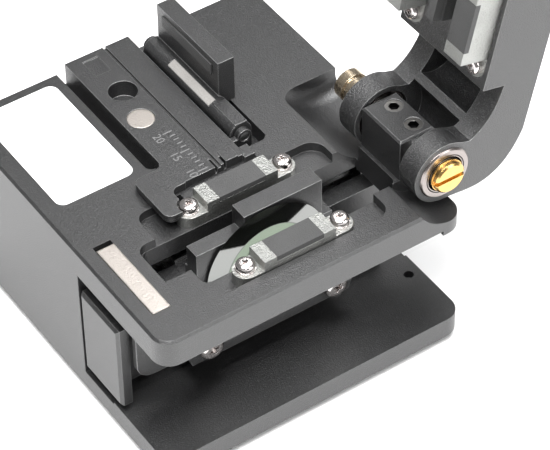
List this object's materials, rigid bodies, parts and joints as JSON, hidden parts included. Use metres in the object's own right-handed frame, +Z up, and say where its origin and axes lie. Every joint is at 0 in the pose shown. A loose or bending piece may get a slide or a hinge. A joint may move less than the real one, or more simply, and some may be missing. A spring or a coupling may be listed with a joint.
{
  "type": "fibre cleaver",
  "caption": "Bench cleaver for optical fibre: hinged lid with sprung clamps over a deck, and a sliding carriage that runs a round blade under the fibre.",
  "frame": {"origin": "centre of the rest plane, the underside of the rubber mat", "axes": "+X along the fibre from the adapter towards the open side, +Y from the front to the lid hinge, +Z up"},
  "size_m": [0.0596, 0.0772, 0.086],
  "materials": {
    "black_anodised": "bead-blasted, black anodised",
    "nickel_steel": "bright nickel plate",
    "dark_steel": "blackened steel",
    "spring_steel": "drawn wire",
    "rail_steel": "ground steel",
    "bearing_steel": "polished bearing steel",
    "magnet_nickel": "nickel plated magnet, satin",
    "brass": "turned, bright",
    "carbide": "ground and polished",
    "dark_rubber": "smooth, matt",
    "black_plastic": "smooth",
    "pale_strip": "off-white, satin"
  },
  "bodies": {
    "frame": {"body_frame": "black_anodised", "rubber_mat": "dark_rubber", "deck_magnet": "magnet_nickel", "adapter_hold_magnet": "magnet_nickel", "clamp_a_bracket": "nickel_steel", "clamp_a_rubber": "dark_rubber", "clamp_b_bracket": "nickel_steel", "clamp_b_rubber": "dark_rubber", "clamp_screws": "nickel_steel", "clamp_washers": "nickel_steel", "linear_rail": "rail_steel", "rail_screws": "dark_steel", "hinge_block": "black_anodised", "hinge_block_screws": "dark_steel", "set_screws": "dark_steel", "hinge_shaft": "brass", "shaft_nut": "brass", "shaft_spacers": "rail_steel", "bearing_inner_rings": "bearing_steel"},
    "lid": {"lid_arm": "black_anodised", "bearing_outer_rings": "bearing_steel", "lid_magnet": "magnet_nickel", "lid_clamp_screws": "nickel_steel", "lid_clamp_a_springs": "spring_steel", "lid_clamp_b_springs": "spring_steel", "anvil_spring": "spring_steel", "anvil_plug": "dark_steel"},
    "lid_clamp_a": {"lid_clamp_a_bracket": "nickel_steel", "lid_clamp_a_rubber": "dark_rubber"},
    "lid_clamp_b": {"lid_clamp_b_bracket": "nickel_steel", "lid_clamp_b_rubber": "dark_rubber"},
    "anvil": {"anvil_holder": "black_plastic", "anvil_tip": "dark_rubber"},
    "slider": {"rail_carriage": "rail_steel", "slider_body": "black_anodised", "carriage_screws": "dark_steel", "blade_holder": "black_anodised", "blade_guard": "black_anodised", "guard_screws": "nickel_steel", "blade_bush": "rail_steel", "blade_flange": "rail_steel", "blade_screw": "dark_steel"},
    "blade": {"blade_wheel": "carbide"},
    "adapter": {"adapter_plate": "black_anodised", "adapter_magnet": "magnet_nickel", "lever_pin": "rail_steel"},
    "lever": {"lever_arm": "black_anodised", "lever_pad": "dark_rubber", "lever_strip": "pale_strip"}
  },
  "joints": [
    {"name": "lid_hinge", "type": "hinge", "parent": "frame", "child": "lid", "pos_m": [0.01625, 0.025, 0.0347], "axis": [1, 0, 0], "range_deg": [0, 103]},
    {"name": "lid_clamp_a_slide", "type": "slide", "parent": "lid", "child": "lid_clamp_a", "axis": [0, 0.9744, -0.225], "range_m": [0, 0.001], "stiffness_N_per_m": 400, "springref_m": -0.003, "deforming": ["lid_clamp_a_springs"]},
    {"name": "lid_clamp_b_slide", "type": "slide", "parent": "lid", "child": "lid_clamp_b", "axis": [0, 0.9744, -0.225], "range_m": [0, 0.001], "stiffness_N_per_m": 400, "springref_m": -0.003, "deforming": ["lid_clamp_b_springs"]},
    {"name": "anvil_slide", "type": "slide", "parent": "lid", "child": "anvil", "axis": [0, 0.9744, -0.225], "range_m": [0, 0.001], "stiffness_N_per_m": 300, "springref_m": -0.003, "deforming": ["anvil_spring"]},
    {"name": "blade_slide", "type": "slide", "parent": "frame", "child": "slider", "axis": [0, 1, 0], "range_m": [-0.006, 0.0085]},
    {"name": "blade_index", "type": "hinge", "parent": "slider", "child": "blade", "pos_m": [0.0165, -0.00045, 0.0223], "axis": [1, 0, 0], "continuous": true},
    {"name": "adapter_lift", "type": "slide", "parent": "frame", "child": "adapter", "axis": [0, 0, 1], "range_m": [0, 0.0045]},
    {"name": "lever_hinge", "type": "hinge", "parent": "adapter", "child": "lever", "pos_m": [-0.013, 0.0065, 0.032], "axis": [1, 0, 0], "range_deg": [0, 90]}
  ]
}
